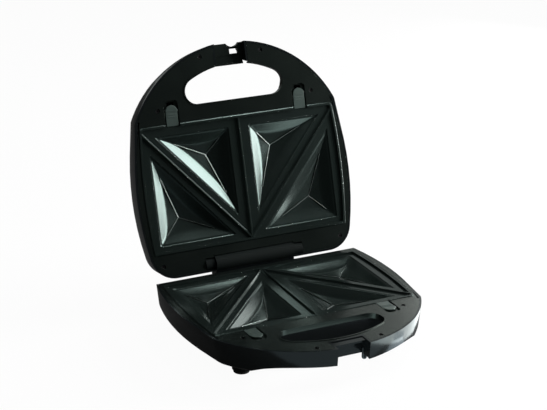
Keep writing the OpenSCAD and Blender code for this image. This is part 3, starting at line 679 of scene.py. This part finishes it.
def draw_lip(bm, corners):
    """A triangle with short edges and rounded corners, open inside."""
    face = bm.faces.new([bm.verts.new(c) for c in corners])
    bmesh.ops.subdivide_edges(bm, edges=list(face.edges), cuts=LIP_CUTS)
    tips = [v for v in face.verts if min((v.co - c).length for c in corners) < NEAR]
    bmesh.ops.bevel(
        bm, geom=tips, affect="VERTICES", offset=LIP_CORNER, segments=LIP_CORNER_STEPS,
        profile=0.5, material=-1,
    )
    face = max(bm.faces, key=lambda f: len(f.verts))
    lip = list(face.edges)
    bmesh.ops.delete(bm, geom=[face], context="FACES_ONLY")
    return lip


def sink_pocket(bm, corners):
    """Sinks one pocket ring by ring. Returns its lip and its deepest point."""
    centre, reach = inner_point(corners)
    lip = draw_lip(bm, corners)
    home = {v: v.co.copy() for e in lip for v in e.verts}
    tall = {v: share_of_side(place, corners) ** WALL_FADE for v, place in home.items()}
    edges = lip
    for ring in pocket_rings(reach):
        made = bmesh.ops.extrude_edge_only(bm, edges=edges)["geom"]
        edges = [g for g in made if isinstance(g, bmesh.types.BMEdge)]
        above = {v: min(home, key=lambda old: (old.co - v.co).length_squared) for v in only_verts(made)}
        home = {v: home[old] for v, old in above.items()}
        tall = {v: tall[old] for v, old in above.items()}
        for v in above:
            inward, depth = ring(tall[v])
            v.co = home[v].lerp(centre, inward)
            v.co.z = -LAND_DEPTH - depth
    floor = bmesh.ops.contextual_create(bm, geom=edges)["faces"]
    apex = bmesh.ops.poke(bm, faces=floor)["verts"][0]
    apex.co = centre - Vector((0, 0, APEX_DEPTH))
    return lip, apex.co.copy()


# %% [markdown]
# The divider and the two diagonals are bars with leaning sides and a narrow flat top, laid on the land.
# A fine bead runs along each crease of a pocket, where the coat is thin and worn; its bright metal is also
# painted highlight, the crease's light line. Bars and beads overlap the sheet instead of being stitched
# into it, because a casting shows no seam there and no face of the overlap can be seen.

# %% Ridges and beads
RIDGE_HALF, RIDGE_TOP = 2.3, 0.6
RIDGE_HEIGHT = -0.1
SUNK = 0.5
RIDGE_END = 2
DIAGONAL_FRONT_X, DIAGONAL_FRONT_Y = PLATE_HALF - 4.65, PLATE_FRONT + 6
DIAGONAL_REAR = Vector((0, PLATE_REAR - 2.7, 0))
BEAD_REACH = 0.62
BEAD_RADIUS, BEAD_END_RADIUS = 0.45, 0.225
BEAD_SIDES = 8
COATED, EDGE, CREASE = 0, 1, 2


def ridge(bm, start, end):
    """A bar with leaning sides from one point of the land to another."""
    run = end - start
    made = bmesh.ops.create_cube(bm, size=1)["verts"]
    for v in made:
        upper = v.co.z > 0
        v.co.x *= run.length
        v.co.y *= 2 * (RIDGE_TOP if upper else RIDGE_HALF)
        v.co.z = RIDGE_HEIGHT if upper else -LAND_DEPTH - SUNK
    turn = Matrix.Rotation(run.to_2d().angle_signed(Vector((1, 0))), 4, "Z")
    bmesh.ops.transform(bm, matrix=Matrix.Translation((start + end) / 2) @ turn, verts=made)


def bead(bm, start, end):
    """A fine raised line that thins towards its end."""
    run = end - start
    made = bmesh.ops.create_cone(
        bm, segments=BEAD_SIDES, radius1=BEAD_RADIUS, radius2=BEAD_END_RADIUS,
        depth=run.length, cap_ends=True,
    )["verts"]
    turn = run.to_track_quat("Z", "Y").to_matrix().to_4x4()
    bmesh.ops.transform(bm, matrix=Matrix.Translation((start + end) / 2) @ turn, verts=made)
    # The bead takes the crease metal: worn coat and painted highlight line at once.
    for face in {f for v in made for f in v.link_faces}:
        face.material_index = CREASE


# %% [markdown]
# A release tab presses on the land at two places at the front, so the rim is cut away there. A Boolean
# would do, but the rim is only a few long faces. So the plate is sliced at each side of the tab, twice
# and a hair apart, and what lies between the slices is pushed down to the land.

# %% Cut the rim for the tabs
TAB_X = 74
TAB_CUT_HALF = 8
RIM_SPARE = 0.5
HAIR = 0.1


def cut_for_tabs(bm):
    """Lowers the front rim where the release tabs reach over it."""
    inner, outer = TAB_X - TAB_CUT_HALF, TAB_X + TAB_CUT_HALF
    for side in (-1, 1):
        for x in (inner - HAIR, inner, outer, outer + HAIR):
            rim = [f for f in bm.faces if f.calc_center_median().y < PLATE_FRONT + RIM_WIDTH + RIM_SPARE]
            around = set(rim) | {e for f in rim for e in f.edges} | {v for f in rim for v in f.verts}
            bmesh.ops.bisect_plane(
                bm, geom=list(around), dist=NEAR, plane_co=(side * x, 0, 0), plane_no=(1, 0, 0),
            )
    for v in bm.verts:
        at_tab = abs(abs(v.co.x) - TAB_X) < TAB_CUT_HALF + HAIR / 10
        if at_tab and v.co.y < PLATE_FRONT + RIM_WIDTH + HAIR:
            v.co.z = min(v.co.z, -LAND_DEPTH)


# %% [markdown]
# Now the plate is put together. The land is what is left between the rim and the four lips, so those
# edges are filled with triangles. Faces of an open sheet can be told which way to look only together, so
# its largest face says whether all of them need turning. The sheet gets its thickness while it is still
# one surface, and the ridges and beads are laid on last. The same casting is used twice, once in each half.

# %% Cast the plate
SHEET = 1.2


def cast_plate():
    """One hot plate in the drawing, rim upwards."""
    bm = bmesh.new()
    land = raise_rim(bm, plate_outline(bm))
    field = list(land.edges)
    bmesh.ops.delete(bm, geom=[land], context="FACES_ONLY")
    creases = []
    for drawn in (FRONT_POCKET, REAR_POCKET):
        for side in (1, -1):
            corners = [Vector((c.x * side, c.y, -LAND_DEPTH)) for c in drawn]
            lip, apex = sink_pocket(bm, corners)
            field += lip
            creases += [(apex, apex.lerp(c - Vector((0, 0, SHELF_DEPTH)), BEAD_REACH)) for c in corners]
    bmesh.ops.triangle_fill(bm, use_beauty=True, use_dissolve=False, edges=field)
    cut_for_tabs(bm)
    bmesh.ops.recalc_face_normals(bm, faces=bm.faces)
    largest = max(bm.faces, key=lambda f: f.calc_area())
    if largest.normal.z < 0:
        bmesh.ops.reverse_faces(bm, faces=bm.faces)
    bmesh.ops.solidify(bm, geom=bm.faces[:], thickness=SHEET)
    ridge(bm, Vector((0, PLATE_FRONT + RIDGE_END, 0)), Vector((0, PLATE_REAR - RIDGE_END, 0)))
    for side in (-1, 1):
        ridge(bm, Vector((DIAGONAL_FRONT_X * side, DIAGONAL_FRONT_Y, 0)), DIAGONAL_REAR)
    for start, end in creases:
        bead(bm, start, end)
    for face in bm.faces:
        face.smooth = True
    print("hot plate:", len(bm.verts), "points,", len(bm.faces), "faces")
    return bm


# %% [markdown]
# The drawing is moved to its half by the mesh's own points, and the piece's object stays at the origin,
# as a CAD node's does. The lid's matrix holds a mirror, which turns every face inside out, so its faces
# are turned back. The bevel gives the rounded edges the worn metal by its own material number, and that
# metal's bright grey is painted highlight as well: it draws the edges' light line.

# %% Stand the plates in both halves
PLATE_EDGE = 0.0005
PLATE_SHARP = 30


def stand(bm, place, name):
    """Moves a drawing to its place as the base or the lid, and returns it as a mesh in metres."""
    bmesh.ops.transform(bm, matrix=place, verts=bm.verts)
    if place.determinant() < 0:
        bmesh.ops.reverse_faces(bm, faces=bm.faces)
    mesh = bpy.data.meshes.new(name)
    bm.to_mesh(mesh)
    bm.free()
    return mesh


for half, place in HALVES.items():
    mesh = stand(cast_plate(), place, half + "_hot_plate")
    plate = finished_piece(half + "_hot_plate", mesh, half, "non_stick", half + "_plate")
    if half == "base":
        mesh.materials[COATED] = WIPED
    mesh.materials.append(EDGE_WEAR_AND_HIGHLIGHT)
    mesh.materials.append(CREASE_WEAR_AND_HIGHLIGHT)
    # The bevel's faces get the edge metal: worn coat and painted highlight line.
    round_edges(plate, PLATE_EDGE, PLATE_SHARP, segments=3).material = EDGE

# %% [markdown]
# A release tab slides back against a spring to let the plate go. It is a small moulding: a round-ended
# grip pad for the fingertip, a step down, two ribs, and a tongue that thins towards the plate it holds.
# A stem goes through the deck and a foot holds it from below. The round end is half a disc, extruded up,
# and the rest is bars, because that is how such a tab is drawn for its mould.

# %% The shape of a release tab
TAB_FRONT, TAB_TIP = -79.6, -57.6
TAB_FLOOR, TAB_TOP = -2.05, -0.95
TIP_DROP = 0.4
GRIP_RADIUS = 6.6
GRIP_TOP = -0.35
GRIP_STEPS = 48
grip_y = TAB_FRONT + GRIP_RADIUS
TONGUE_START = grip_y + 0.5
STEP_HALF, STEP_Y = GRIP_RADIUS - 0.6, (grip_y - 1, grip_y + 1)
STEP_HEIGHTS = (TAB_FLOOR + 0.2, TAB_TOP + 0.15)
RIB_HALF, RIB_LENGTH = GRIP_RADIUS - 1.4, 1
RIB_HEIGHTS = (TAB_FLOOR + 0.3, TAB_TOP + 0.3)
RIB_PLACES = (grip_y + 2.6, grip_y + 5.2)
STEM_HALF, FOOT_HALF = 3.5, 6
STEM_Y = (-78.0, -73.5)
STEM_BOTTOM, STEM_TOP, FOOT_TOP = -5.5, TAB_FLOOR + 0.15, -4.0


def bar(bm, half_width, ys, zs, tip_drop=0.0):
    """A bar across the tab between two places and two heights. tip_drop lowers its top at the far end."""
    for v in bmesh.ops.create_cube(bm, size=1)["verts"]:
        far, upper = v.co.y > 0, v.co.z > 0
        drop = tip_drop if far and upper else 0
        v.co = Vector((half_width if v.co.x > 0 else -half_width, ys[far], zs[upper] - drop))


def release_tab(x):
    """One tab in the drawing, with its middle at x."""
    bm = bmesh.new()
    bmesh.ops.create_circle(bm, cap_ends=True, segments=GRIP_STEPS, radius=GRIP_RADIUS)
    disc = bm.verts[:] + bm.edges[:] + bm.faces[:]
    bmesh.ops.bisect_plane(
        bm, geom=disc, dist=NEAR, plane_co=(0, 0, 0), plane_no=(0, 1, 0), clear_outer=True,
    )
    bmesh.ops.translate(bm, vec=(0, grip_y, TAB_FLOOR), verts=bm.verts)
    top = only_verts(bmesh.ops.extrude_face_region(bm, geom=bm.faces[:])["geom"])
    bmesh.ops.translate(bm, vec=(0, 0, GRIP_TOP - TAB_FLOOR), verts=top)
    bar(bm, GRIP_RADIUS, (TONGUE_START, TAB_TIP), (TAB_FLOOR, TAB_TOP), TIP_DROP)
    bar(bm, STEP_HALF, STEP_Y, STEP_HEIGHTS)
    for rib_y in RIB_PLACES:
        bar(bm, RIB_HALF, (rib_y, rib_y + RIB_LENGTH), RIB_HEIGHTS)
    bar(bm, STEM_HALF, STEM_Y, (STEM_BOTTOM, STEM_TOP))
    bar(bm, FOOT_HALF, STEM_Y, (STEM_BOTTOM, FOOT_TOP))
    bmesh.ops.recalc_face_normals(bm, faces=bm.faces)
    bmesh.ops.translate(bm, vec=(x, 0, 0), verts=bm.verts)
    return bm


# %% [markdown]
# Four tabs are needed, two in each half. Each rides on its own body, so that it slides by itself.

# %% Put the release tabs in their slots
TAB_EDGE = 0.00035

for half, place in HALVES.items():
    for side, x in (("left", -TAB_X), ("right", TAB_X)):
        name = half + "_release_" + side
        mesh = stand(release_tab(x), place, name)
        tab = finished_piece("tab_" + name, mesh, nodes[name]["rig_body"], "release_tab", name)
        round_edges(tab, TAB_EDGE, PLATE_SHARP, segments=3)
        print(name, "has", len(mesh.polygons), "faces")

# %% [markdown]
# Last, the scene is brought up to date.

# %% Update the scene
bpy.context.view_layer.update()
